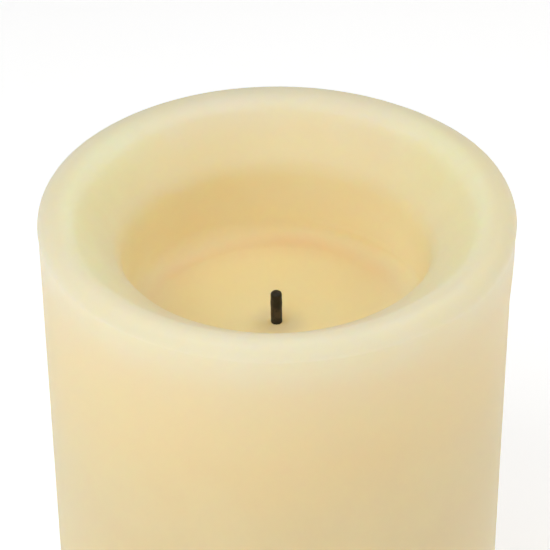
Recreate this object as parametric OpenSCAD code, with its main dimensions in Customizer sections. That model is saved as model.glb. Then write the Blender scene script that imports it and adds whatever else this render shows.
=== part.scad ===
// Flameless LED pillar candle: a hollow wax pillar with a melted bowl and a wick,
// over a battery and lamp module that is opened from underneath.
// Origin: centre of the underside. +Z up. The bowl's front is towards -Y.

/* [Wax pillar] */
// Outer diameter of the pillar
candle_d = 100; // [98:1:110]
// Height from the underside to the highest ring of the rim
candle_h = 150; // [148:1:180]
// Depth of the bowl at its middle, below the highest ring
bowl_depth = 31; // [28:0.5:32]
// Diameter of the bowl at its wall
bowl_d = 65.2; // [60:0.2:68]
// Diameter of the highest ring of the rim
crest_d = 92.8; // [91:0.2:94]
// Half height of the rounding outside the highest ring
edge_h = 5.6; // [4:0.2:7]
// Radius of the lip where the rim turns down into the bowl
lip_r = 7; // [5:0.5:9]
// Slope of the rim between crest and lip, in degrees
rim_slope = 35.5; // [32:0.5:37]
// Wax left between the bowl's floor and the cavity
wax_floor = 11; // [10:0.5:12]
// Diameter of the cavity that takes the module
cavity_d = 72; // [72:0.5:74]

/* [Wick] */
// Diameter of the wick
wick_d = 2.6; // [2:0.1:3.4]
// Height of the wick above the bowl's floor
wick_h = 8.3; // [5:0.1:12]

/* [Battery cells] */
// Diameter of one cell
cell_d = 26.2; // [24:0.1:26.2]
// Length of one cell with its button
cell_len = 50; // [46:0.5:50]

/* [Module] */
// Diameter of the round base plate
plate_d = 82; // [81:0.5:82]
// Thickness of the base plate
plate_t = 2.5; // [2.3:0.1:2.7]
// Wall thickness of the battery case and the lamp tower
wall = 1.6; // [1.4:0.1:1.8]
// Length of the battery door
door_l = 61; // [58:0.5:61]

/* [Hidden] */

$fn = 96;
EPS = 0.01;     // overshoot of a cut, so that no skin is left
GAP = 0.4;      // clearance between loose plastic pieces

// Heights of the stack, from the table up
plate_z = 1;                                 // underside of the plate, clear of the table
plate_top = plate_z + plate_t;
ledge_z = plate_top + 0.7;                   // wax ledge above the glue
cell_z = 8;                                  // lower end of the cells
cell_top = cell_z + cell_len;
contact_h = 4;                               // room for the contacts above the cells
roof_z = cell_top + contact_h;               // inner face of the battery case's roof
case_top = roof_z + 2;
floor_z = candle_h - bowl_depth;             // lowest point of the bowl
cavity_top = floor_z - wax_floor;
dome_r = 14;
dome_top = cavity_top - 4;
tower_top = dome_top - dome_r - 5;
board_t = 1.6;
board_z = tower_top - 4;                     // underside of the circuit board
board_top = board_z + board_t;

// Plan of the module
cell_r = cell_d / 2;
cell_x = cell_r + 0.5;                       // each cell's distance from the middle
cell_y = 1.5;
pocket_r = cell_r + 0.5;
case_r = pocket_r + wall;
collar_r = cavity_d / 2 - 0.6;
flange_r = collar_r - 2.4 - 0.5;
tower_r = 17;
tower_bore_r = tower_r - wall;
tower_screw_x = cell_x + 8.9;
tower_foot_t = 2;
board_r = tower_bore_r - GAP;
board_screw_y = 11.2;
case_screw_xy = [[-22, -20.5], [22, -20.5], [-14, 26.5], [14, 26.5]];

// Battery door, its hinge and its latch
door_t = 2;
door_back = 17;
door_front = -15.4;
hinge_y = 20.2;
hinge_z = 2.6;
barrel_r = 1.6;
barrel_l = 34;
pivot_r = 1;
pivot_len = 2.6;
running_gap = 0.05;                          // radial clearance of a pivot in its bore
ear_l = 3.6;
ear_y = [17.9, 22.5];                        // front and back of the hinge ears
latch_w = 10;
latch_y = -18.1;                             // middle of the latch's free leg
latch_z = 9.4;                               // the latch's bending axis
latch_leg = 1.2;
latch_eye_r = 1;
latch_pin_r = 0.6;
cheek_t = 1.2;
latch_front = -20;                           // plate edge that the tooth hooks over

// Slide switch
switch_y = -27.6;
switch_travel = 2;
switch_l = 11.6;
switch_w = 6.4;
switch_h = 4.5;
switch_screw_x = 8.2;
sheet = 0.5;
stem = [4, 2.6];
knob = [4.6, 4.4, 1.1];
pit = [11.6, 6.4, 1.2];                      // recess that keeps the knob off the table

// Lamp
led_x = 4.5;
led_r = 2.5;
led_h = 8.6;
wire_r = 0.65;
solder_z = roof_z + 6;                       // top of the contacts' tabs

// ---------- Helpers ----------

// Points of an elliptic arc from angle a0 to a1, in degrees
function arc(c, rx, ry, a0, a1, n) =
    [for (i = [0:n]) let (a = a0 + (a1 - a0) * i / n) c + [rx * cos(a), ry * sin(a)]];

// Point between b and c on a Catmull-Rom spline
function spline_point(a, b, c, d, t) =
    0.5 * (2 * b + (c - a) * t + (2 * a - 5 * b + 4 * c - d) * t * t
           + (3 * b - a - 3 * c + d) * t * t * t);

// Smooth path through the points, with n steps in each stretch
function smooth(p, n) = let (m = len(p) - 1) concat(
    [for (i = [0:m - 1], k = [0:n - 1])
        spline_point(p[max(i - 1, 0)], p[i], p[i + 1], p[min(i + 2, m)], k / n)],
    [p[m]]);

function unit(v) = v / norm(v);

// Round rod along a path; ref is a direction that the path never follows
module rod(path, r, ref, sides = 8) {
    m = len(path) - 1;
    rings = [for (i = [0:m])
        let (t = unit(path[min(i + 1, m)] - path[max(i - 1, 0)]),
             u = unit(cross(ref, t)),
             v = cross(t, u))
        for (k = [0:sides - 1])
            let (a = 360 * k / sides) path[i] + r * (cos(a) * u + sin(a) * v)];
    quads = [for (i = [0:m - 1], k = [0:sides - 1])
        let (j = (k + 1) % sides, a = i * sides, b = a + sides)
        each [[a + k, b + k, b + j], [a + k, b + j, a + j]]];
    first = [for (k = [0:sides - 1]) k];
    last = [for (k = [sides - 1:-1:0]) m * sides + k];
    polyhedron(rings, concat(quads, [first, last]), convexity = 4);
}

// Two circles joined by a bar, along X
module stadium(half, r) {
    for (x = [-half, half]) translate([x, 0]) circle(r);
    square([2 * half, 2 * r], center = true);
}

// Rectangle with round corners, by its low and high corner
module round_box(lo, hi, r) {
    difference() {
        translate(lo) square(hi - lo);
        for (x = [0, 1], y = [0, 1])
            translate([x ? hi.x : lo.x, y ? hi.y : lo.y])
                rotate(90 * (x ? (y ? 2 : 1) : (y ? 3 : 0)))
                    difference() {
                        translate([-1, -1]) square(r + 1);
                        translate([r, r]) circle(r);
                    }
    }
}

// Screw with its head down at z = 0 and its shank upwards
module screw(head_r, head_h, shank_r, length) {
    difference() {
        cylinder(r = head_r, h = head_h);
        for (a = [0, 90])
            rotate(a) translate([0, 0, 0.3]) cube([head_r * 1.1, 0.5, 0.62], center = true);
    }
    translate([0, 0, head_h]) cylinder(r = shank_r, h = length);
}

// Coil spring that narrows from r0 to r1, with a flat turn at each end
module cone_spring(r0, r1, h, wire, turns = 3) {
    steps = 16;
    n = (turns + 2) * steps;
    path = [for (i = [0:n])
        let (turn = i / steps,
             f = min(max((turn - 1) / turns, 0), 1),
             r = r0 + (r1 - r0) * f)
        [r * cos(360 * turn), r * sin(360 * turn), wire + (h - 2 * wire) * f]];
    rod(path, wire, [0, 0, 1]);
}

// ---------- Wax pillar ----------

// Half section of the pillar above z = 0, from the axis out
function pillar_outline() =
    let (R = candle_d / 2, crest = crest_d / 2, wall_x = bowl_d / 2,
         lip = [wall_x + lip_r, 0],
         foot = lip + lip_r * [-sin(rim_slope), cos(rim_slope)],
         crest_r = 4.6, edge_w = R - crest + 0.3,
         top = [crest - crest_r * sin(rim_slope), candle_h - crest_r * (1 - cos(rim_slope))],
         lip_z = top.y - (top.x - foot.x) * tan(rim_slope) - foot.y,
         fillet = 5.5, edge_z = floor_z + 0.9, base_x = wall_x - 0.4)
    concat(
        [for (i = [0:6]) let (x = (base_x - fillet) * i / 6)
            [x, floor_z + 0.9 * pow(i / 6, 2)]],
        arc([base_x - fillet, edge_z + fillet], fillet, fillet, -80, 0, 8),
        arc([lip.x, lip_z], lip_r, lip_r, 180, 90 + rim_slope, 10),
        arc([crest, candle_h - crest_r], crest_r, crest_r, 90 + rim_slope, 94, 4),
        // The side cuts off the outer rounding, which leaves a soft crease
        arc([crest, candle_h - edge_h], edge_w, edge_h, 90, acos((R - crest) / edge_w), 8),
        [[R, 0.8], [R - 0.8, 0], [0, 0]]);

module wax_shell() {
    color("#efe0b4")
    difference() {
        rotate_extrude() polygon(pillar_outline());
        translate([0, 0, -EPS]) cylinder(d = plate_d + 1, h = ledge_z + EPS);
        cylinder(d = cavity_d, h = cavity_top - 6);
        translate([0, 0, cavity_top - 6]) cylinder(d1 = cavity_d, d2 = cavity_d - 12, h = 6);
        translate([0, 0, floor_z - 8]) cylinder(d = wick_d, h = 9);
    }
}

module wick() {
    r = wick_d / 2;
    color("#2b2820")
    translate([0, 0, floor_z - 8])
        rotate_extrude()
            polygon(concat([[0, 0], [r, 0]], arc([r - 0.9, wick_h + 7.1], 0.9, 0.9, 0, 90, 6),
                           [[0, wick_h + 8]]));
}

// ---------- Base plate ----------

module glue_ring() {
    color("#f3ecd9")
    translate([0, 0, plate_top])
        difference() {
            cylinder(d = plate_d - 1, h = ledge_z - plate_top);
            translate([0, 0, -EPS]) cylinder(d = cavity_d + 3, h = 1);
        }
}

// Plan of the opening that the door closes
module door_opening() {
    round_box([-door_l / 2 - GAP, door_front - GAP], [door_l / 2 + GAP, door_back + 2 * GAP],
              4 + GAP);
    translate([-barrel_l / 2 - GAP, door_back - 1])
        square([barrel_l + 2 * GAP, ear_y[1] - door_back + 1]);
    translate([-latch_w / 2 - 2, latch_front]) square([latch_w + 4, 6]);
}

// The pair of ears that hold the door's pivots
module hinge_ears() {
    for (s = [-1, 1])
        translate([s * (barrel_l / 2 + GAP + ear_l / 2), (ear_y[0] + ear_y[1]) / 2, plate_z + 2.1])
            cube([ear_l, ear_y[1] - ear_y[0], 4.2], center = true);
}

module base_plate() {
    color("#ece7da")
    difference() {
        union() {
            translate([0, 0, plate_z]) difference() {
                cylinder(d = plate_d, h = plate_t);
                translate([0, 0, -EPS]) linear_extrude(plate_t + 2 * EPS) door_opening();
            }
            intersection() {
                hinge_ears();
                cylinder(r = collar_r, h = 20);
            }
            translate([0, 0, plate_top - EPS]) difference() {
                cylinder(r = collar_r, h = 5.5);
                translate([0, 0, -EPS]) cylinder(r = collar_r - 2.4, h = 6);
            }
            for (k = [-1, 1], i = [0:(k + 1) / 2])
                translate([k * 2.6 + (i - (k + 1) / 4) * 1.6, switch_y + 4.6, plate_z - 0.25])
                    cylinder(r = 0.45, h = 0.5);
        }
        // Pivot bores
        for (s = [-1, 1])
            translate([s * (barrel_l / 2 - 1), hinge_y, hinge_z])
                rotate([0, s * 90, 0]) cylinder(r = pivot_r + running_gap, h = pivot_len + 2.2);
        // Finger scoop in front of the latch
        translate([0, latch_front - 0.6, plate_z - 1.9])
            rotate([0, 90, 0]) cylinder(r = 3.2, h = latch_w + 4, center = true);
        // Counterbored holes for the case screws
        for (p = case_screw_xy) translate([p.x, p.y, plate_z - EPS]) {
            cylinder(r = 1.5, h = 6);
            cylinder(r = 2.9, h = 1.35);
        }
        // Switch: recess, slot and screw holes
        translate([0, switch_y, plate_z + pit.z / 2 - EPS])
            cube(pit + [0, 0, 2 * EPS], center = true);
        translate([0, switch_y, plate_z + 2])
            cube([stem.x + 2 * switch_travel + 1, stem.y + 0.8, 6], center = true);
        for (s = [-1, 1])
            translate([s * switch_screw_x, switch_y, plate_z + 0.7]) cylinder(r = 0.9, h = 3);
    }
}

// ---------- Battery case and cells ----------

module battery_case() {
    color("#e4e2dc")
    difference() {
        union() {
            translate([0, 0, plate_top]) cylinder(r = flange_r, h = 2);
            translate([0, cell_y, plate_top])
                linear_extrude(case_top - plate_top) stadium(cell_x, case_r);
            for (p = case_screw_xy) translate([p.x, p.y, plate_top]) cylinder(r = 2.6, h = 9);
        }
        translate([0, cell_y, plate_top - EPS])
            linear_extrude(roof_z - 3.4 - plate_top) stadium(cell_x, pocket_r);
        // Contact chamber below the roof, with posts for the tower's screws
        translate([0, cell_y, roof_z - 3.5]) difference() {
            linear_extrude(3.5) stadium(cell_x, pocket_r);
            for (s = [-1, 1]) translate([s * tower_screw_x, 0, 0.6]) cylinder(r = 2.1, h = 4);
        }
        // Room for the hinge, the latch and the switch
        translate([-barrel_l / 2 - ear_l - 2 * GAP, cell_y + case_r, plate_top - EPS])
            cube([barrel_l + 2 * ear_l + 4 * GAP, ear_y[1] + GAP - cell_y - case_r, 3]);
        translate([-latch_w / 2 - 2, latch_front - 2, plate_top - EPS])
            cube([latch_w + 4, cell_y - case_r - latch_front + 2, 3]);
        translate([-11.5, -35, plate_top - EPS]) cube([23, 14.5, 3]);
        // Pilot holes of the case screws and the tower screws
        for (p = case_screw_xy) translate([p.x, p.y, plate_top - EPS]) cylinder(r = 1.1, h = 8);
        for (s = [-1, 1])
            translate([s * tower_screw_x, cell_y, roof_z - 2]) cylinder(r = 1, h = 5);
        // Slots for the contacts' tabs
        for (s = [-1, 1])
            translate([s * (cell_x - 4.8), cell_y, roof_z + 1]) cube([1, 3.6, 4], center = true);
    }
}

module case_screws() {
    color("#b9bcc0")
    for (p = case_screw_xy) translate([p.x, p.y, plate_z + 0.1]) screw(2.6, 1.2, 1.1, 8);
}

// One cell, button up, standing at z = 0
module cell() {
    body_h = cell_len - 1.5;
    rotate_extrude()
        polygon([[0, 0], [cell_r - 0.6, 0], [cell_r, 0.6], [cell_r, body_h - 1.2],
                 [cell_r - 0.8, body_h - 0.4], [cell_r - 1.6, body_h - 0.8], [4.2, body_h - 0.8],
                 [3.6, body_h], [3.3, cell_len - 0.3], [3, cell_len], [0, cell_len]]);
}

module cell_left() {
    color("#4d6a58") translate([-cell_x, cell_y, cell_z]) cell();
}

module cell_right() {
    color("#4d6a58") translate([cell_x, cell_y, cell_top]) rotate([180, 0, 0]) cell();
}

// Pressed plate below the roof with a tab up into the tower; s is its side
module roof_plate(s) {
    translate([s * cell_x, cell_y, roof_z - 0.4]) linear_extrude(0.4) square(9.2, center = true);
    translate([s * (cell_x - 4.8) - 0.2, cell_y - 1.5, roof_z - 0.4])
        cube([0.4, 3, solder_z - roof_z + 0.4]);
}

module positive_contact() {
    color("#c9ccd0") {
        roof_plate(-1);
        translate([-cell_x, cell_y, cell_top]) cylinder(r = 2.6, h = contact_h - 0.2);
    }
}

module negative_contact() {
    color("#c9ccd0") roof_plate(1);
}

module negative_spring() {
    color("#d5d8da")
    translate([cell_x, cell_y, cell_top + 0.05])
        mirror([0, 0, 1]) translate([0, 0, 0.45 - contact_h]) cone_spring(4.2, 2.6, 3.5, 0.4, 2);
}

// ---------- Battery door ----------

module battery_door() {
    cheek_x = latch_w / 2 + 0.3;
    color("#e8e3d5") {
        difference() {
            union() {
                translate([0, 0, plate_z]) linear_extrude(door_t)
                    round_box([-door_l / 2, door_front], [door_l / 2, door_back], 4);
                translate([-barrel_l / 2, hinge_y, hinge_z]) rotate([0, 90, 0])
                    cylinder(r = barrel_r, h = barrel_l);
                translate([-barrel_l / 2, door_back - 1, plate_z])
                    cube([barrel_l, hinge_y - door_back + 1, door_t - 0.2]);
                translate([-barrel_l / 2 - pivot_len - 0.4, hinge_y, hinge_z]) rotate([0, 90, 0])
                    cylinder(r = pivot_r, h = barrel_l + 2 * pivot_len + 0.8);
            }
            // Grip grooves on the outside
            for (i = [0:3])
                translate([0, door_front + 3 + 1.8 * i, plate_z])
                    cube([16, 0.8, 0.6], center = true);
        }
        // Fixed leg of the latch, with a cheek at each side that holds its pivots
        difference() {
            union() {
                translate([-cheek_x - cheek_t, door_front, plate_z])
                    cube([2 * (cheek_x + cheek_t), 1.1, latch_z + latch_eye_r + 0.4 - plate_z]);
                for (x = [-cheek_x - cheek_t, cheek_x])
                    translate([x, latch_y - latch_eye_r - 0.2, latch_z - latch_eye_r - 0.4])
                        cube([cheek_t, door_front + 1 - latch_y + latch_eye_r,
                              2 * latch_eye_r + 0.8]);
            }
            translate([-cheek_x - cheek_t - 1, latch_y, latch_z]) rotate([0, 90, 0])
                cylinder(r = latch_pin_r + running_gap, h = 2 * (cheek_x + cheek_t) + 2);
        }
        // Bearer of the bridge contact
        for (x = [-cell_x, cell_x])
            translate([x, cell_y + 5.6, plate_z + door_t - EPS])
                linear_extrude(1) square([9, 1.2], center = true);
    }
}

module door_latch() {
    foot_z = plate_z;
    tooth_z = plate_top + 0.3;
    color("#e8e3d5") {
        translate([-latch_w / 2, latch_y, latch_z]) rotate([0, 90, 0])
            cylinder(r = latch_eye_r, h = latch_w);
        translate([-latch_w / 2 - 0.3 - cheek_t, latch_y, latch_z]) rotate([0, 90, 0])
            cylinder(r = latch_pin_r, h = latch_w + 0.6 + 2 * cheek_t);
        translate([-latch_w / 2, latch_y - latch_leg / 2, foot_z])
            cube([latch_w, latch_leg, latch_z - foot_z]);
        // Tooth over the plate's edge, with a ramp on top
        translate([-latch_w / 2, latch_y, 0]) rotate([90, 0, 90]) linear_extrude(latch_w)
            polygon([[0, tooth_z], [latch_front - latch_y - 0.8, tooth_z + 0.35],
                     [latch_front - latch_y - 0.8, tooth_z + 0.8], [0, tooth_z + 2.4]]);
    }
}

module bridge_contact() {
    z = plate_z + door_t;
    color("#c9ccd0") {
        translate([-cell_x - 5, cell_y - 5, z]) cube([2 * cell_x + 10, 9.8, 0.4]);
        translate([cell_x, cell_y, z + 0.3]) cylinder(r = 2.6, h = cell_z - z - 0.35);
    }
}

module bridge_spring() {
    z = plate_z + door_t + 0.4;
    color("#d5d8da")
    translate([-cell_x, cell_y, z]) cone_spring(4.4, 2.6, cell_z - z - 0.05, 0.45);
}

// ---------- Slide switch ----------

module switch_frame() {
    color("#b5b8bc")
    translate([0, switch_y, plate_top]) difference() {
        union() {
            translate([0, 0, sheet / 2])
                cube([2 * switch_screw_x + 4, switch_w, sheet], center = true);
            translate([0, 0, (switch_h + sheet) / 2])
                cube([switch_l, switch_w, switch_h + sheet], center = true);
        }
        translate([0, 0, sheet + switch_h / 2 + EPS])
            cube([switch_l - 2 * sheet, switch_w - 2 * sheet, switch_h + EPS], center = true);
        cube([stem.x + 2 * switch_travel + 1, stem.y + 0.8, 3], center = true);
        for (s = [-1, 1]) translate([s * switch_screw_x, 0, -1]) cylinder(r = 1.1, h = 3);
    }
}

module switch_insulator() {
    color("#7a5a35")
    translate([0, switch_y, plate_top + sheet + switch_h - 0.6]) difference() {
        cube([switch_l - 2 * sheet - 0.1, switch_w - 2 * sheet - 0.1, 1.2], center = true);
        for (x = [-3, 0, 3]) translate([x, 0, 0]) cube([1.3, 0.7, 3], center = true);
    }
}

module switch_terminals() {
    color("#d9c27a")
    for (x = [-3, 0, 3])
        translate([x - 0.6, switch_y - 0.3, plate_top + sheet + switch_h - 1.3])
            cube([1.2, 0.6, 4.8]);
}

module switch_screws() {
    color("#b9bcc0")
    for (s = [-1, 1])
        translate([s * switch_screw_x, switch_y, plate_top + sheet + 1.1]) rotate([180, 0, 0])
            screw(1.7, 1.1, 0.9, 2.2);
}

module switch_slider() {
    color("#33343a")
    translate([0, switch_y, 0]) {
        translate([-3, -2.3, plate_top + sheet + 0.15]) cube([6, 4.6, 2.4]);
        translate([-stem.x / 2, -stem.y / 2, plate_z + 0.3])
            cube([stem.x, stem.y, plate_top + sheet + 0.2 - plate_z - 0.3]);
    }
}

module switch_knob() {
    color("#2f3036")
    translate([0, switch_y, plate_z - 0.1]) difference() {
        translate([0, 0, knob.z / 2]) cube(knob, center = true);
        translate([-stem.x / 2, -stem.y / 2, 0.4]) cube([stem.x, stem.y, knob.z]);
        for (x = [-1.2, 0, 1.2]) translate([x, 0, 0]) cube([0.5, knob.y + 1, 0.4], center = true);
    }
}

// ---------- Lamp ----------

module lamp_tower() {
    color("#dedcd6")
    difference() {
        union() {
            translate([0, 0, case_top]) cylinder(r = tower_r, h = tower_top - case_top);
            translate([0, cell_y, case_top])
                linear_extrude(tower_foot_t) stadium(tower_screw_x, 4.6);
        }
        difference() {
            translate([0, 0, case_top + tower_foot_t]) cylinder(r = tower_bore_r, h = 60);
            for (s = [-1, 1]) translate([0, s * board_screw_y, 0])
                cylinder(r = 2.3, h = board_z);
        }
        translate([0, 0, case_top - 1]) cylinder(r = 8.6, h = 6);
        translate([0, cell_y, case_top - 1]) cube([24, 4.2, 12], center = true);
        for (s = [-1, 1]) {
            translate([s * tower_screw_x, cell_y, case_top - 1]) cylinder(r = 1.3, h = 5);
            translate([0, s * board_screw_y, board_z - 7]) cylinder(r = 0.9, h = 9);
        }
        // Mouth for the switch wires
        translate([-5, -tower_r - 1, case_top - 1]) cube([10, 3.2, 9]);
    }
}

module tower_screws() {
    color("#b9bcc0")
    for (s = [-1, 1])
        translate([s * tower_screw_x, cell_y, case_top + tower_foot_t + 1.2])
            rotate([180, 0, 0]) screw(2.2, 1.2, 1, 5.2);
}

module lamp_board() {
    color("#2f6b45")
    difference() {
        translate([0, 0, board_z]) cylinder(r = board_r, h = board_t);
        for (s = [-1, 1]) translate([0, s * board_screw_y, board_z - 1]) cylinder(r = 1.1, h = 4);
        for (s = [-1, 1], d = [-1.27, 1.27])
            translate([s * led_x + d, 0, board_z - 1]) cylinder(r = 0.4, h = 4);
    }
}

module board_screws() {
    color("#b9bcc0")
    for (s = [-1, 1])
        translate([0, s * board_screw_y, board_top + 1]) rotate([180, 0, 0])
            screw(1.8, 1, 0.9, 6);
}

// Five millimetre lamp on its two legs
module led() {
    color("#f3c766") translate([0, 0, board_top]) {
        translate([0, 0, 2]) cylinder(r = led_r + 0.35, h = 1);
        translate([0, 0, 2]) cylinder(r = led_r, h = led_h - led_r - 2);
        translate([0, 0, led_h - led_r]) sphere(r = led_r);
        for (d = [-1.27, 1.27])
            translate([d - 0.25, -0.25, -board_t - 0.8]) cube([0.5, 0.5, board_t + 3]);
    }
}

module led_left() { translate([-led_x, 0, 0]) led(); }
module led_right() { translate([led_x, 0, 0]) led(); }

module timer_chip() {
    color("#222327") {
        translate([6.6, -6.4, board_top + 0.95]) cube([4.9, 3.9, 1.5], center = true);
        for (s = [-1, 1], i = [0:3])
            translate([6.6 + (i - 1.5) * 1.27, -6.4 + s * 2.4, board_top + 0.25])
                cube([0.42, 1.2, 0.5], center = true);
    }
}

module crystal() {
    color("#c9ccd0")
    translate([-9.6, -6.6, board_top + 1]) rotate([0, 90, 0]) cylinder(r = 1, h = 6);
}

module capacitor() {
    color("#23335e") translate([6.8, 6.6, board_top]) {
        cylinder(r = 2.4, h = 1);
        cylinder(r = 2.2, h = 5.4);
        translate([0, 0, 5.2]) cylinder(r1 = 2.4, r2 = 2.1, h = 0.6);
    }
}

module resistors() {
    color("#c9a878")
    for (i = [0:2]) translate([-7.2, 4.6 + 2 * i, board_top + 0.3])
        cube([2.6, 1.25, 0.6], center = true);
}

module lamp_dome() {
    skirt_r = tower_bore_r - 0.3;
    color("#f6f3ea") translate([0, 0, tower_top]) difference() {
        union() {
            cylinder(r = tower_r, h = 1.4);
            translate([0, 0, -1.8]) cylinder(r = skirt_r, h = 2);
            cylinder(r = dome_r, h = 5);
            translate([0, 0, 5]) sphere(r = dome_r);
        }
        translate([0, 0, -16]) cylinder(r = skirt_r + 0.1, h = 14.2);
        translate([0, 0, -3]) cylinder(r = dome_r - 0.4, h = 3.5);
        cylinder(r = dome_r - 1.4, h = 5);
        translate([0, 0, 5]) sphere(r = dome_r - 1.4);
    }
}

// ---------- Wires ----------

module battery_wire(s) {
    tab_x = s * (cell_x - 4.8);
    rod(smooth([[tab_x - s * 0.9, cell_y, solder_z - 2.4], [tab_x - s * 0.9, cell_y, solder_z + 0.4],
                [s * 7.4, cell_y + 2, (solder_z + board_z) / 2], [s * 5.6, cell_y + 3.2, board_z - 2],
                [s * 5.6, cell_y + 3.2, board_z - 0.1]], 5), wire_r, [1, 0.2, 0]);
}

module switch_wire(s) {
    start_z = plate_top + switch_h + 3.2;
    y = switch_y + 1.15;
    rod(smooth([[s * 3, y, start_z - 2], [s * 3, y, start_z + 1.6], [s * 3.2, y + 2.6, 24],
                [s * 2.6, -18.6, 42], [s * 2.4, -19.4, 58], [s * 3, -15.8, case_top + 3.6],
                [s * 3.4, -10.6, board_z - 6], [s * 3.6, -7.6, board_z - 1.6],
                [s * 3.6, -7.4, board_z - 0.15]], 5), wire_r, [1, 0, 0]);
}

module wire_battery_positive() { color("#b3201f") battery_wire(-1); }
module wire_battery_negative() { color("#1b1b1d") battery_wire(1); }
module wire_switch_left() { color("#b3201f") switch_wire(-1); }
module wire_switch_right() { color("#d8b22c") switch_wire(1); }

wax_shell();
wick();
glue_ring();
base_plate();
battery_case();
case_screws();
cell_left();
cell_right();
positive_contact();
negative_contact();
negative_spring();
battery_door();
bridge_contact();
bridge_spring();
door_latch();
switch_frame();
switch_insulator();
switch_terminals();
switch_screws();
switch_slider();
switch_knob();
lamp_tower();
tower_screws();
lamp_board();
board_screws();
led_left();
led_right();
timer_chip();
crystal();
capacitor();
resistors();
lamp_dome();
wire_battery_positive();
wire_battery_negative();
wire_switch_left();
wire_switch_right();
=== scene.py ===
"""Looks of the flameless LED pillar candle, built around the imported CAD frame. All sizes are in metres."""
import math
import bmesh
import bpy
from mathutils import Euler, Matrix, Vector, noise


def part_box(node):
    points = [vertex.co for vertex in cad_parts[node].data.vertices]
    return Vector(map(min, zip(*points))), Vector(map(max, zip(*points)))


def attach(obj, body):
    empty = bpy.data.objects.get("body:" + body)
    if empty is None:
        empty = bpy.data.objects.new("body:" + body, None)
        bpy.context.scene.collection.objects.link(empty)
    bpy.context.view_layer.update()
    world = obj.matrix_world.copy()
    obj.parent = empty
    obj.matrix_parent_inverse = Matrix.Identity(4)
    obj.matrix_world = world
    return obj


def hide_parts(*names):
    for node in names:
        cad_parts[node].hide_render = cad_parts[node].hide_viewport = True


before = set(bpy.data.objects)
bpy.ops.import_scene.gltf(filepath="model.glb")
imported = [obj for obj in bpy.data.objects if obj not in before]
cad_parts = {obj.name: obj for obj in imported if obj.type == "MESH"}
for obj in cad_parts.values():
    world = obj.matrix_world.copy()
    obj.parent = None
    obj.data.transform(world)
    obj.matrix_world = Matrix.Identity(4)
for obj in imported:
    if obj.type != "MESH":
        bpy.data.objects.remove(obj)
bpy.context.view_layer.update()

MM = 0.001

# ---------- Places taken from the frame ----------
wax_lo, wax_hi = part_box("wax_shell")
R = (wax_hi.x - wax_lo.x) / 2           # radius of the pillar
H = wax_hi.z                            # highest ring of the rim
WICK_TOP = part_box("wick")[1].z

# ---------- Camera ----------
# The photograph's view: from the front, tilted down over the bowl
CAM_BACK = 8.7896 * R                   # camera's distance in front of the axis
CAM_UP = 5.8330 * R                     # camera's height above the rim's crest in front
CAM_SIDE = -0.0054 * R
CAM_TILT, CAM_ROLL = 35.15, -0.36       # degrees down from level, and degrees of roll
CAM_LENS, CAM_SENSOR = 164.86, 36.0


def make_camera():
    data = bpy.data.cameras.new("camera")
    data.lens, data.sensor_width = CAM_LENS, CAM_SENSOR
    data.clip_start, data.clip_end = 0.01, 20.0
    cam = bpy.data.objects.new("camera", data)
    bpy.context.scene.collection.objects.link(cam)
    cam.location = (CAM_SIDE, -CAM_BACK, CREST_Z[0] + CAM_UP)
    tilt = Euler((math.radians(90 - CAM_TILT), 0, 0)).to_matrix()
    roll = Matrix.Rotation(math.radians(CAM_ROLL), 3, "Z")
    cam.rotation_euler = (tilt @ roll).to_euler()
    bpy.context.scene.camera = cam


# ---------- Node helpers ----------


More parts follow.
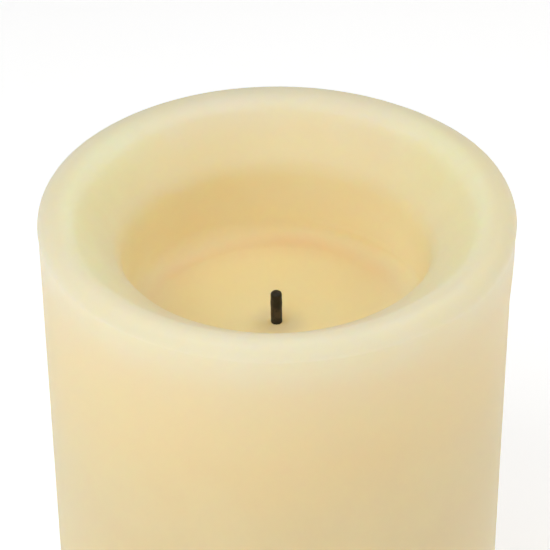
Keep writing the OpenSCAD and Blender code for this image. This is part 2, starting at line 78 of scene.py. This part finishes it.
class Nodes:
    """A material's node tree with short ways to add and link nodes."""

    def __init__(self, name):
        self.mat = bpy.data.materials.new(name)
        self.mat.use_nodes = True
        self.tree = self.mat.node_tree
        self.tree.nodes.clear()
        self.out = self.add("ShaderNodeOutputMaterial")
        self.bsdf = self.add("ShaderNodeBsdfPrincipled")
        self.link(self.bsdf.outputs[0], self.out.inputs[0])
        self.coord = self.add("ShaderNodeTexCoord").outputs["Object"]

    def add(self, kind, **values):
        node = self.tree.nodes.new(kind)
        for key, value in values.items():
            setattr(node, key, value)
        return node

    def link(self, a, b):
        self.tree.links.new(a, b)

    def fill(self, socket, value):
        if isinstance(value, bpy.types.NodeSocket):
            self.link(value, socket)
        else:
            socket.default_value = value

    def noise(self, scale, detail=2.0, rough=0.5, coord=None, distortion=0.0):
        n = self.add("ShaderNodeTexNoise")
        self.link(coord or self.coord, n.inputs["Vector"])
        n.inputs["Scale"].default_value = scale
        n.inputs["Detail"].default_value = detail
        n.inputs["Roughness"].default_value = rough
        n.inputs["Distortion"].default_value = distortion
        return n.outputs["Fac"]

    def stretch(self, x, y, z):
        m = self.add("ShaderNodeMapping")
        self.link(self.coord, m.inputs["Vector"])
        m.inputs["Scale"].default_value = (x, y, z)
        return m.outputs[0]

    def math(self, op, a, b=0.0):
        n = self.add("ShaderNodeMath", operation=op)
        self.fill(n.inputs[0], a)
        self.fill(n.inputs[1], b)
        return n.outputs[0]

    def remap(self, value, a0, a1, b0, b1, smooth=False):
        n = self.add("ShaderNodeMapRange")
        n.interpolation_type = "SMOOTHSTEP" if smooth else "LINEAR"
        self.link(value, n.inputs["Value"])
        for key, v in zip(("From Min", "From Max", "To Min", "To Max"), (a0, a1, b0, b1)):
            n.inputs[key].default_value = v
        return n.outputs[0]

    def mix(self, factor, a, b):
        n = self.add("ShaderNodeMix", data_type="RGBA")
        self.fill(n.inputs["Factor"], factor)
        self.fill(n.inputs["A"], a)
        self.fill(n.inputs["B"], b)
        return n.outputs["Result"]

    def ramp(self, value, stops):
        n = self.add("ShaderNodeValToRGB")
        self.link(value, n.inputs[0])
        band = n.color_ramp
        while len(band.elements) < len(stops):
            band.elements.new(0.5)
        for element, (place, colour) in zip(band.elements, stops):
            element.position, element.color = place, (*colour[:3], 1.0)
        return n.outputs[0]

    def bump(self, height, distance, strength=1.0, under=None):
        n = self.add("ShaderNodeBump")
        n.inputs["Strength"].default_value = strength
        n.inputs["Distance"].default_value = distance
        self.link(height, n.inputs["Height"])
        if under is not None:
            self.link(under, n.inputs["Normal"])
        return n.outputs[0]

    def set(self, **values):
        for key, value in values.items():
            self.fill(self.bsdf.inputs[key.replace("_", " ")], value)
        return self.mat


def srgb(r, g, b):
    """A colour given in 0-255 display values, as linear RGBA."""
    def lin(c):
        c /= 255
        return c / 12.92 if c <= 0.04045 else ((c + 0.055) / 1.055) ** 2.4
    return (lin(r), lin(g), lin(b), 1.0)


# ---------- Wax ----------


# Colours of the wax by millimetres below the rim: paler near the rim, darker and deeper yellow further down.
# This is painted shade down the side and in the bowl, with the painted yellow of light through thick wax.
SIDE_SHADE_TONES = ((0.0, (0.885, 0.758, 0.550)), (3.5, (0.885, 0.772, 0.580)), (8.0, (0.885, 0.768, 0.560)),
              (13.0, (0.885, 0.740, 0.478)), (20.0, (0.880, 0.732, 0.426)), (32.0, (0.870, 0.700, 0.383)),
              (60.0, (0.838, 0.660, 0.378)))
BOWL_SHADE_TONES = ((0.0, (0.895, 0.768, 0.585)), (3.5, (0.910, 0.785, 0.582)), (8.0, (0.912, 0.797, 0.538)),
              (13.0, (0.900, 0.800, 0.545)), (20.0, (0.895, 0.795, 0.540)), (25.5, (0.895, 0.792, 0.508)),
              (29.0, (0.905, 0.772, 0.438)), (30.5, (0.910, 0.685, 0.346)), (40.0, (0.910, 0.685, 0.346)))
PAINTED_GLOW_TONE = (0.990, 0.868, 0.600, 1)    # painted glow: the bowl's left and right walls made paler, standing in for light through the wax
WICK_SHADOW = (0.50, 0.46, 0.30, 1)           # painted shadow in the wax round the wick's foot
TONES_DEEP = 64 * MM                    # length that the whole colour ramp covers
CLOUD_SHIFT = 7 * MM                    # how far the wax's clouds carry the tones up and down
GLOW_FROM, GLOW_TO = 18 * MM, 38 * MM   # distance to either side over which the painted glow comes in
WICK_SHADOW_FROM, WICK_SHADOW_TO = 1.5 * MM, 8 * MM  # distance from the wick over which the painted shadow fades out
RIM_IN, RIM_OUT = 43 * MM, 47 * MM      # the bowl's tones give way to the side's between these radii
BOWL_END, SIDE_START = 34 * MM, 40 * MM  # and between these depths, inside the wax


def tone_ramp(n, depth, tones):
    return n.ramp(n.math("DIVIDE", depth, TONES_DEEP), [(d * MM / TONES_DEEP, c) for d, c in tones])


def wax_material():
    """Translucent wax, cloudy, finely grained and slightly uneven in colour, with painted shade, a painted
    shadow round the wick and a painted glow on the bowl's side walls in its colour.
    """
    n = Nodes("wax")
    cloud = n.noise(16, 2, 0.5)
    fine = n.noise(90, 3, 0.6)
    axes = n.add("ShaderNodeSeparateXYZ")
    n.link(n.coord, axes.inputs[0])
    wander = n.math("MULTIPLY", n.math("SUBTRACT", cloud, 0.5), CLOUD_SHIFT)
    depth = n.math("SUBTRACT", H, n.math("ADD", axes.outputs[2], wander))
    radius = n.math("SQRT", n.math("ADD", n.math("MULTIPLY", axes.outputs[0], axes.outputs[0]),
                                   n.math("MULTIPLY", axes.outputs[1], axes.outputs[1])))
    sideways = n.math("ABSOLUTE", axes.outputs[0])
    # painted glow: the bowl's left and right walls made paler, as if lit through the wax
    bowl = n.mix(n.remap(sideways, GLOW_FROM, GLOW_TO, 0, 1, True), tone_ramp(n, depth, BOWL_SHADE_TONES),
                 PAINTED_GLOW_TONE)
    # painted shadow round the wick's foot
    bowl = n.mix(n.remap(radius, WICK_SHADOW_FROM, WICK_SHADOW_TO, 0.5, 0, True), bowl, WICK_SHADOW)
    outside = n.math("MAXIMUM", n.remap(radius, RIM_IN, RIM_OUT, 0, 1, True),
                     n.remap(depth, BOWL_END, SIDE_START, 0, 1, True))
    # painted shade: the depth ramps darken and deepen the wax down the side and into the bowl
    tones = n.mix(outside, bowl, tone_ramp(n, depth, SIDE_SHADE_TONES))
    mottle = n.remap(n.math("ADD", n.math("MULTIPLY", cloud, 0.6), n.math("MULTIPLY", fine, 0.4)),
                     0.35, 0.65, 0.0, 0.35, True)
    colour = n.mix(mottle, tones, srgb(244, 226, 176))
    grain = n.noise(420, 2, 0.6)
    relief = n.bump(n.noise(60, 4, 0.55), 0.2 * MM, 0.5)
    relief = n.bump(grain, 0.04 * MM, 0.4, relief)
    return n.set(Base_Color=colour, Roughness=n.remap(fine, 0.3, 0.7, 0.40, 0.52), Normal=relief,
                 IOR=1.44, Specular_IOR_Level=0.3, Subsurface_Weight=1.0, Subsurface_Scale=22 * MM,
                 Subsurface_Radius=(1.0, 0.78, 0.45))


# ---------- Plastics, metals and electronics ----------


def moulded(name, light, dark, rough=(0.38, 0.52), grain=1400, relief=0.02):
    """Injection-moulded plastic with a fine spark-eroded grain and slightly uneven colour."""
    n = Nodes(name)
    flow = n.noise(28, 3, 0.55, distortion=0.6)
    skin = n.noise(grain, 2, 0.6)
    colour = n.mix(n.remap(flow, 0.3, 0.7, 0, 1, True), light, dark)
    scuffs = n.remap(n.noise(240, 4, 0.7, n.stretch(0.25, 1, 1)), 0.55, 0.75, 0, 1, True)
    rough_map = n.math("ADD", n.remap(skin, 0.3, 0.7, *rough), n.math("MULTIPLY", scuffs, 0.08))
    normal = n.bump(skin, relief * MM, 0.6, n.bump(flow, 0.05 * MM, 0.3))
    return n.set(Base_Color=colour, Roughness=rough_map, Normal=normal, IOR=1.5)


def metal(name, light, dark, rough=(0.22, 0.38), stretch=(1, 18, 18), scale=60):
    """Plated or drawn metal with fine streaks along one axis."""
    n = Nodes(name)
    streaks = n.noise(scale, 4, 0.65, n.stretch(*stretch))
    cloud = n.noise(180, 3, 0.6)
    tone = n.math("ADD", n.math("MULTIPLY", streaks, 0.6), n.math("MULTIPLY", cloud, 0.4))
    colour = n.mix(n.remap(tone, 0.35, 0.65, 0, 1, True), light, dark)
    normal = n.bump(streaks, 0.01 * MM, 0.5)
    return n.set(Base_Color=colour, Metallic=1.0, Roughness=n.remap(tone, 0.3, 0.7, *rough),
                 Normal=normal)


def insulation(name, colour, dark):
    """Extruded wire covering, with faint rings left by the die."""
    n = Nodes(name)
    rings = n.noise(160, 2, 0.5, n.stretch(1, 1, 8))
    tone = n.mix(n.remap(rings, 0.3, 0.7, 0, 1, True), colour, dark)
    return n.set(Base_Color=tone, Roughness=n.remap(rings, 0.3, 0.7, 0.28, 0.42),
                 Normal=n.bump(rings, 0.02 * MM, 0.5), IOR=1.52)


# Places along a cell, from 0 at its flat end to 1 at its tip
CELL_BASE, CELL_SPLIT, CELL_TIP = 0.012, 0.72, 0.962
SPLIT_LINE = 0.012                      # half the width of the pale line between the bands


def cell_material(name, top_up):
    """Printed sleeve of a C cell in plain bands, with bare steel at both ends."""
    n = Nodes(name)
    lo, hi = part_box("cell_left")
    axes = n.add("ShaderNodeSeparateXYZ")
    n.link(n.coord, axes.inputs[0])
    up = n.remap(axes.outputs[2], lo.z, hi.z, *((0.0, 1.0) if top_up else (1.0, 0.0)))
    print_dots = n.noise(900, 1, 0.4)
    green = n.mix(n.remap(print_dots, 0.4, 0.6, 0, 1), srgb(58, 88, 70), srgb(50, 78, 62))
    copper = n.mix(n.remap(print_dots, 0.4, 0.6, 0, 1), srgb(186, 138, 84), srgb(172, 124, 74))
    pale = srgb(208, 208, 196)
    band = n.math("GREATER_THAN", up, CELL_SPLIT)
    sleeve = n.mix(band, green, copper)
    edge = n.math("LESS_THAN", n.math("ABSOLUTE", n.math("SUBTRACT", up, CELL_SPLIT)), SPLIT_LINE)
    sleeve = n.mix(edge, sleeve, pale)
    ends = n.math("MAXIMUM", n.math("GREATER_THAN", up, CELL_TIP), n.math("LESS_THAN", up, CELL_BASE))
    steel = n.mix(n.noise(300, 3, 0.6), srgb(196, 198, 200), srgb(168, 170, 174))
    return n.set(Base_Color=n.mix(ends, sleeve, steel), Metallic=ends,
                 Roughness=n.remap(print_dots, 0.3, 0.7, 0.26, 0.36),
                 Normal=n.bump(n.noise(70, 2), 0.05 * MM, 0.3))


def board_material():
    """Solder mask over copper tracks, with a weave of glass cloth just showing."""
    n = Nodes("board")
    tracks = n.add("ShaderNodeTexBrick")
    n.link(n.coord, tracks.inputs["Vector"])
    for key, value in (("Scale", 260.0), ("Mortar Size", 0.09), ("Mortar Smooth", 0.2)):
        tracks.inputs[key].default_value = value
    weave = n.noise(1500, 1, 0.4)
    mask = n.mix(n.remap(weave, 0.4, 0.6, 0, 1), srgb(36, 104, 66), srgb(28, 90, 56))
    colour = n.mix(n.math("MULTIPLY", tracks.outputs["Fac"], 0.5), mask, srgb(70, 140, 84))
    return n.set(Base_Color=colour, Roughness=n.remap(weave, 0.3, 0.7, 0.25, 0.4),
                 Normal=n.bump(tracks.outputs["Fac"], 0.03 * MM, 0.6))


def laminate_material():
    """Brown phenolic paper board, its fibres running along X."""
    n = Nodes("phenolic")
    fibres = n.noise(300, 4, 0.65, n.stretch(0.2, 1, 1))
    return n.set(Base_Color=n.mix(n.remap(fibres, 0.3, 0.7, 0, 1), srgb(140, 98, 56), srgb(104, 70, 38)),
                 Roughness=n.remap(fibres, 0.3, 0.7, 0.45, 0.62), Normal=n.bump(fibres, 0.02 * MM, 0.6))


def led_material():
    """Tinted clear epoxy with a faint swirl."""
    n = Nodes("led")
    swirl = n.noise(350, 2, 0.5, distortion=1.5)
    return n.set(Base_Color=n.mix(swirl, srgb(250, 212, 130), srgb(244, 190, 92)),
                 Roughness=n.remap(swirl, 0.3, 0.7, 0.06, 0.14), Transmission_Weight=0.6, IOR=1.53)


def dome_material():
    """Frosted cap that spreads the lamps' light."""
    n = Nodes("dome")
    frost = n.noise(700, 3, 0.6)
    return n.set(Base_Color=n.mix(frost, srgb(248, 245, 236), srgb(238, 234, 222)),
                 Roughness=n.remap(frost, 0.3, 0.7, 0.5, 0.66), Normal=n.bump(frost, 0.02 * MM, 0.7),
                 Subsurface_Weight=0.6, Subsurface_Scale=3 * MM, Subsurface_Radius=(1.0, 0.9, 0.75))


def glue_material():
    """Hot-melt adhesive: cloudy, with a stringy, uneven surface."""
    n = Nodes("glue")
    strings = n.noise(240, 4, 0.65, distortion=1.2)
    return n.set(Base_Color=n.mix(strings, srgb(244, 238, 220), srgb(228, 218, 192)),
                 Roughness=n.remap(strings, 0.3, 0.7, 0.25, 0.5), Normal=n.bump(strings, 0.2 * MM, 0.8),
                 Subsurface_Weight=0.5, Subsurface_Scale=2 * MM, Subsurface_Radius=(1.0, 0.85, 0.6))


def dress_nodes():
    """Gives the carried-over CAD nodes listed below their materials."""
    ivory = moulded("base_plastic", srgb(238, 232, 216), srgb(230, 223, 205))
    case = moulded("case_plastic", srgb(230, 228, 222), srgb(218, 216, 210))
    door = moulded("door_plastic", srgb(233, 226, 209), srgb(225, 217, 199), grain=1700)
    black = moulded("switch_black", srgb(46, 46, 51), srgb(34, 34, 38), (0.42, 0.56))
    epoxy = moulded("chip_black", srgb(38, 38, 42), srgb(30, 30, 33), (0.55, 0.7), 2400)
    film = moulded("resistor_film", srgb(206, 178, 134), srgb(182, 150, 108), (0.4, 0.55), 2200)
    sleeve = moulded("capacitor_sleeve", srgb(44, 60, 104), srgb(34, 48, 88), (0.22, 0.34), 900)
    zinc = metal("screw_steel", srgb(200, 202, 206), srgb(160, 164, 170), (0.24, 0.42), (1, 1, 6), 300)
    nickel = metal("contact_nickel", srgb(214, 215, 216), srgb(186, 188, 190))
    wire = metal("spring_wire", srgb(220, 222, 224), srgb(180, 184, 188), (0.14, 0.26), (4, 4, 16))
    tin = metal("switch_steel", srgb(196, 198, 202), srgb(164, 167, 172), (0.3, 0.46))
    brass = metal("terminal_brass", srgb(222, 202, 142), srgb(196, 172, 110), (0.25, 0.4), (6, 6, 1))
    can = metal("crystal_can", srgb(210, 212, 215), srgb(178, 181, 186), (0.2, 0.32))
    red = insulation("wire_red", srgb(178, 34, 30), srgb(150, 24, 22))
    dress = {
        "glue_ring": glue_material(), "base_plate": ivory, "battery_case": case, "lamp_tower": case,
        "battery_door": door, "door_latch": door, "case_screws": zinc, "tower_screws": zinc,
        "board_screws": zinc, "switch_screws": zinc, "cell_left": cell_material("cell_up", True),
        "cell_right": cell_material("cell_down", False), "positive_contact": nickel,
        "negative_contact": nickel, "bridge_contact": nickel, "negative_spring": wire,
        "bridge_spring": wire, "switch_frame": tin, "switch_insulator": laminate_material(),
        "switch_terminals": brass, "switch_slider": black, "switch_knob": black,
        "lamp_board": board_material(), "led_left": led_material(), "timer_chip": epoxy,
        "crystal": can, "capacitor": sleeve, "resistors": film, "lamp_dome": dome_material(),
        "wire_battery_positive": red, "wire_switch_left": red,
        "wire_battery_negative": insulation("wire_black", srgb(34, 34, 36), srgb(24, 24, 26)),
        "wire_switch_right": insulation("wire_yellow", srgb(216, 178, 50), srgb(194, 154, 34))}
    dress["led_right"] = dress["led_left"]
    for node, material in dress.items():
        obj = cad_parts[node]
        obj.data.materials.clear()
        obj.data.materials.append(material)


# ---------- The wax pillar ----------
# The rim is a hand-finished roll: low and sharp in front, higher, broader and rounder behind
CREST_R = (46.4 * MM, 43.6 * MM)        # highest ring, in front and behind
CREST_Z = (H - 0.5 * MM, H + 0.5 * MM)
CREST_ROUND = (4.6 * MM, 5.0 * MM)
EDGE_W = (3.9 * MM, 6.7 * MM)           # outer rounding, an ellipse that the side cuts off
EDGE_H = (5.6 * MM, 3.3 * MM)
LIP_R = (7.0 * MM, 9.5 * MM)
LIP_Z = (H - 12.9 * MM, H - 14.6 * MM)  # middle of the lip's rounding
BOWL_R = 32.6 * MM
BOWL_DRAFT = 0.4 * MM                   # how much narrower the bowl's wall is at its foot
BOWL_FLOOR = H - 31.0 * MM
FLOOR_RISE = 0.9 * MM
WICK_R = 1.22 * MM
MENISCUS = 0.5 * MM                     # how far the wax climbs the wick, and how far out it does so
BROAD, SMALL = (26, 0.35 * MM), (75, 0.10 * MM)  # unevenness of the top: waves per metre, height
RIDGE_Z = H - 25.7 * MM                 # tide mark on the wall, left where the melted wax stood
RIDGE = 0.2 * MM
RIDGE_TURN = 2.45                       # its middle, in radians round from the front
BULGE = 0.45 * MM                       # the rim swells a little on the right
BULGE_TURN = 1.45
FILLET = 5.5 * MM
PLATE_HOLE_R = 41.5 * MM
LEDGE_Z = 4.2 * MM
CAVITY_R = 36.0 * MM
CAVITY_TOP = BOWL_FLOOR - 11 * MM
CHAMFER = 6 * MM                        # where the cavity's wall meets its top
SIDE_R = R - 0.15 * MM
STEP = 2.2 * MM                         # longest stretch between rings on a straight line
TURNS = 256
FRONT, BEHIND = 0.8, 2.1                # radians round between which the rim changes to its back form


def arc(cx, cz, rx, rz, a0, a1, n):
    for i in range(n + 1):
        a = math.radians(a0 + (a1 - a0) * i / n)
        yield cx + rx * math.cos(a), cz + rz * math.sin(a)


def line(a, b, n):
    for i in range(1, n):
        yield a[0] + (b[0] - a[0]) * i / n, a[1] + (b[1] - a[1]) * i / n


def joined(*runs):
    """Runs of points, with a straight line of short steps across each gap between them."""
    out = []
    for run in runs:
        run = list(run)
        if out:
            gap = math.dist(out[-1], run[0])
            if gap < 1e-6:
                run = run[1:]
            else:
                out += line(out[-1], run[0], max(1, round(gap / STEP)))
        out += run
    return out


def smoothstep(x, a, b):
    t = min(max((x - a) / (b - a), 0), 1)
    return t * t * (3 - 2 * t)


def rim_slope(crest_r, crest_z, crest_round, lip_r, lip_z):
    """Slope of the straight between the crest's arc and the lip's arc, in radians."""
    lo, hi = 0.3, 1.3
    while hi - lo > 1e-5:
        a = (lo + hi) / 2
        run = crest_r - crest_round * math.sin(a) - (BOWL_R + lip_r - lip_r * math.sin(a))
        drop = run * math.tan(a) + crest_round * (1 - math.cos(a)) + lip_r * math.cos(a)
        lo, hi = (a, hi) if crest_z - drop > lip_z else (lo, a)
    return lo


def top_outline(back):
    """From the middle of the bowl over the rim to the crease where the side begins."""
    crest_r, crest_z, crest_round, edge_w, edge_h, lip_r, lip_z = (
        p[0] + (p[1] - p[0]) * back
        for p in (CREST_R, CREST_Z, CREST_ROUND, EDGE_W, EDGE_H, LIP_R, LIP_Z))
    slope = math.degrees(rim_slope(crest_r, crest_z, crest_round, lip_r, lip_z))
    base_x, edge_z = BOWL_R - BOWL_DRAFT, BOWL_FLOOR + FLOOR_RISE
    span = base_x - FILLET
    radii = [WICK_R + MENISCUS * k for k in (-0.4, 0, 0.3, 0.7, 1.2, 2, 3)]
    radii += [span * i / 14 for i in range(2, 14)]
    points = [(r, BOWL_FLOOR + FLOOR_RISE * (r / span) ** 2 + MENISCUS * math.exp((WICK_R - r) / MENISCUS))
              for r in radii]
    points += arc(base_x - FILLET, edge_z + FILLET, FILLET, FILLET, -84, 0, 20)
    points += line(points[-1], (BOWL_R, lip_z), 6)
    points += arc(BOWL_R + lip_r, lip_z, lip_r, lip_r, 180, 90 + slope, 12)
    crest = list(arc(crest_r, crest_z - crest_round, crest_round, crest_round, 90 + slope, 90, 10))
    points += line(points[-1], crest[0], 4)
    points += crest
    last = math.degrees(math.acos((R - crest_r) / edge_w))
    edge = list(arc(crest_r, crest_z - edge_h, edge_w, edge_h, 90, last, 16))[1:]
    crease_z = edge[-1][1]
    return points + edge + [(R - 0.02 * MM, crease_z - 0.3 * MM), (SIDE_R, crease_z - 0.7 * MM)]


def side_outline():
    """From below the crease, down the side, and round through the cavity to its top."""
    return joined(
        [(SIDE_R, H - 8 * MM)],
        [(SIDE_R, 1.2 * MM), (R - 0.45 * MM, 0.4 * MM), (R - 1.1 * MM, 0)],
        [(PLATE_HOLE_R + 0.4 * MM, 0), (PLATE_HOLE_R, 0.4 * MM), (PLATE_HOLE_R, LEDGE_Z)],
        [(CAVITY_R, LEDGE_Z), (CAVITY_R, CAVITY_TOP - CHAMFER), (CAVITY_R - CHAMFER, CAVITY_TOP)],
        [(2 * MM, CAVITY_TOP)])


SIDE = side_outline()


def wax_outline(turn):
    """Half section of the pillar at an angle from the front."""
    from_front = abs((turn + math.pi) % (2 * math.pi) - math.pi)
    return top_outline(smoothstep(from_front, FRONT, BEHIND)) + SIDE


def wax_relief(p):
    """How far the wax stands out from its plain section at point p, in metres."""
    radius = math.hypot(p.x, p.y)
    inside = min(max((R - radius) / (6 * MM), 0), 1) * min(max((p.z - CAVITY_TOP) / (8 * MM), 0), 1)
    broad = noise.noise(p * BROAD[0] + Vector((3.1, 0.2, 7.7)))
    small = noise.noise(p * SMALL[0] + Vector((11.0, 4.0, 2.0)))
    if radius > BOWL_R + MM:
        near = 1 - smoothstep(abs(math.atan2(p.x, -p.y) - BULGE_TURN), 0.5, 1.2)
        high = smoothstep(p.z, H - 22 * MM, H - 10 * MM)
        mark = BULGE * near * high * smoothstep(radius, BOWL_R + 4 * MM, R - 5 * MM)
    else:
        near = 1 - smoothstep(abs(math.atan2(p.x, -p.y) - RIDGE_TURN), 0.25, 0.6)
        mark = RIDGE * near * math.exp(-((p.z - RIDGE_Z) / (0.8 * MM)) ** 2)
    return mark - inside * (BROAD[1] * broad + SMALL[1] * small)


def lathe(name, outline):
    """Closed body round Z; outline(turn) gives its half section at each angle from the front."""
    sections = [outline(2 * math.pi * k / TURNS) for k in range(TURNS)]
    rings = len(sections[0])
    verts, faces = [], []
    for i in range(rings):
        for k, section in enumerate(sections):
            a = 2 * math.pi * k / TURNS
            r, z = section[i]
            verts.append(Vector((r * math.sin(a), -r * math.cos(a), z)))
    for i in range(rings - 1):
        for k in range(TURNS):
            j = (k + 1) % TURNS
            faces.append((i * TURNS + k, (i + 1) * TURNS + k, (i + 1) * TURNS + j, i * TURNS + j))
    for ring in (0, rings - 1):
        centre = len(verts)
        verts.append(Vector((0, 0, sections[0][ring][1])))
        for k in range(TURNS):
            j = (k + 1) % TURNS
            tri = (centre, ring * TURNS + k, ring * TURNS + j)
            faces.append(tri if ring == 0 else tri[::-1])
    mesh = bpy.data.meshes.new(name)
    mesh.from_pydata(verts, [], faces)
    mesh.update()
    for poly in mesh.polygons:
        poly.use_smooth = True
    obj = bpy.data.objects.new(name, mesh)
    bpy.context.scene.collection.objects.link(obj)
    return obj


def make_wax():
    obj = lathe("wax_pillar", wax_outline)
    mesh = obj.data
    normals = [v.normal.copy() for v in mesh.vertices]
    for v, normal in zip(mesh.vertices, normals):
        v.co += normal * wax_relief(v.co)
    mesh.update()
    mesh.materials.append(wax_material())
    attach(obj, "candle")
    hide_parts("wax_shell")


# ---------- The wick ----------
WICK_FOOT = BOWL_FLOOR - 8 * MM
WICK_ROUND = 0.75 * MM                  # rounding of the upper edge
WICK_STEPS, WICK_TURNS = 96, 72
STRANDS = 6
BRAID_RISE = 0.9 * MM                   # height over which a strand turns by one radian


def wick_material():
    n = Nodes("wick")
    fibre = n.noise(900, 3, 0.65, n.stretch(1, 1, 0.35))
    soot = n.noise(420, 3, 0.6)
    colour = n.mix(n.remap(fibre, 0.35, 0.65, 0, 1, True), srgb(66, 52, 36), srgb(34, 28, 17))
    colour = n.mix(n.remap(soot, 0.45, 0.6, 0, 0.8, True), colour, srgb(30, 27, 16))
    return n.set(Base_Color=colour, Roughness=n.remap(soot, 0.3, 0.7, 0.5, 0.68),
                 Normal=n.bump(fibre, 0.06 * MM, 0.7), Specular_IOR_Level=0.35)


def make_wick():
    """Stub of a braided wick, stiffened with dark wax, that stands in the bowl's floor."""
    rings = []
    for i in range(WICK_STEPS + 1):
        z = WICK_FOOT + (WICK_TOP - WICK_ROUND - WICK_FOOT) * i / WICK_STEPS
        rings.append((WICK_R, z, 1.0))
    for i in range(1, 9):
        a = math.pi / 2 * i / 8
        r = WICK_R - WICK_ROUND * (1 - math.cos(a))
        rings.append((r, WICK_TOP - WICK_ROUND + WICK_ROUND * math.sin(a), math.cos(a)))
    for k in (0.66, 0.33):
        rings.append(((WICK_R - WICK_ROUND) * k, WICK_TOP + 0.02 * MM, 0.0))
    bm = bmesh.new()
    grid = []
    for r, z, braid in rings:
        row = []
        for k in range(WICK_TURNS):
            a = 2 * math.pi * k / WICK_TURNS
            one = math.cos(STRANDS * a + z / BRAID_RISE)
            other = math.cos(STRANDS * a - z / BRAID_RISE)
            swell = 0.035 * MM * braid * (one * other + 0.4 * max(one, other))
            lean = 0.03 * MM * math.sin((z - WICK_FOOT) / (3 * MM))
            row.append(bm.verts.new(((r + swell) * math.cos(a) + lean, (r + swell) * math.sin(a), z)))
        grid.append(row)
    for low, high in zip(grid, grid[1:]):
        for k in range(WICK_TURNS):
            j = (k + 1) % WICK_TURNS
            bm.faces.new((low[k], low[j], high[j], high[k]))
    bm.faces.new(grid[-1])
    bm.faces.new(grid[0][::-1])
    for face in bm.faces:
        face.smooth = True
    mesh = bpy.data.meshes.new("wick_stub")
    bm.to_mesh(mesh)
    bm.free()
    mesh.materials.append(wick_material())
    obj = bpy.data.objects.new("wick_stub", mesh)
    bpy.context.scene.collection.objects.link(obj)
    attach(obj, "candle")
    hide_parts("wick")


# ---------- Floor and light ----------


FLOOR_SIZE = 6
LIGHT_AIM = Vector((0, 0, 0.12))
LIGHT_SIZE = 0.6
HAZE = (0.05, 0.30, 0.52, 0.10)         # sine of height from and to, brightness from and to
COOL, WARM = (0.95, 0.98, 1.0), (1.0, 0.96, 0.92)
# Soft boxes one metre from the candle: name, degrees round from the front, degrees up, watts, colour
LIGHTS = (("front_left", -30, 50, 3.5, (1, 1, 1)), ("left", -70, 50, 1.8, COOL),
          ("back_left", -110, 50, 0.4, COOL), ("right", 70, 50, 0.8, WARM),
          ("back_right", 110, 50, 1.5, WARM), ("top", 80, 70, 1.8, (1, 1, 1)))


def area_light(name, place, watts, colour):
    data = bpy.data.lights.new(name, "AREA")
    data.shape, data.size = "DISK", LIGHT_SIZE
    data.energy, data.color = watts, colour
    obj = bpy.data.objects.new(name, data)
    bpy.context.scene.collection.objects.link(obj)
    obj.location = place
    obj.rotation_euler = (LIGHT_AIM - place).to_track_quat("-Z", "Y").to_euler()


def make_sky(tree):
    """Pale haze at the horizon that fades to a dim ceiling."""
    coord = tree.nodes.new("ShaderNodeTexCoord")
    axes = tree.nodes.new("ShaderNodeSeparateXYZ")
    haze = tree.nodes.new("ShaderNodeMapRange")
    haze.interpolation_type = "SMOOTHSTEP"
    tree.links.new(coord.outputs["Generated"], axes.inputs[0])
    tree.links.new(axes.outputs[2], haze.inputs["Value"])
    for key, value in zip(("From Min", "From Max", "To Min", "To Max"), HAZE):
        haze.inputs[key].default_value = value
    tree.links.new(haze.outputs[0], tree.nodes["Background"].inputs["Strength"])
    tree.nodes["Background"].inputs["Color"].default_value = (1, 1, 1, 1)


def make_stage():
    """Plain white floor under a pale sky, with six soft boxes."""
    bpy.ops.mesh.primitive_plane_add(size=FLOOR_SIZE, location=(0, 0, 0))
    floor = bpy.context.object
    floor.name = "floor"
    n = Nodes("floor_paint")
    tone = n.noise(3, 2)
    floor.data.materials.append(n.set(
        Base_Color=n.mix(tone, (0.93, 0.93, 0.93, 1), (0.95, 0.95, 0.95, 1)), Roughness=0.8,
        Emission_Color=(1, 1, 1, 1), Emission_Strength=0.44))
    world = bpy.data.worlds.new("studio")
    world.use_nodes = True
    bpy.context.scene.world = world
    make_sky(world.node_tree)
    for name, turn, lift, watts, colour in LIGHTS:
        a, e = math.radians(turn), math.radians(lift)
        place = LIGHT_AIM + Vector((math.cos(e) * math.sin(a), -math.cos(e) * math.cos(a), math.sin(e)))
        area_light(name, place, watts, colour)


make_camera()
make_stage()
bpy.context.scene.view_settings.view_transform = "Standard"
dress_nodes()
make_wax()
make_wick()
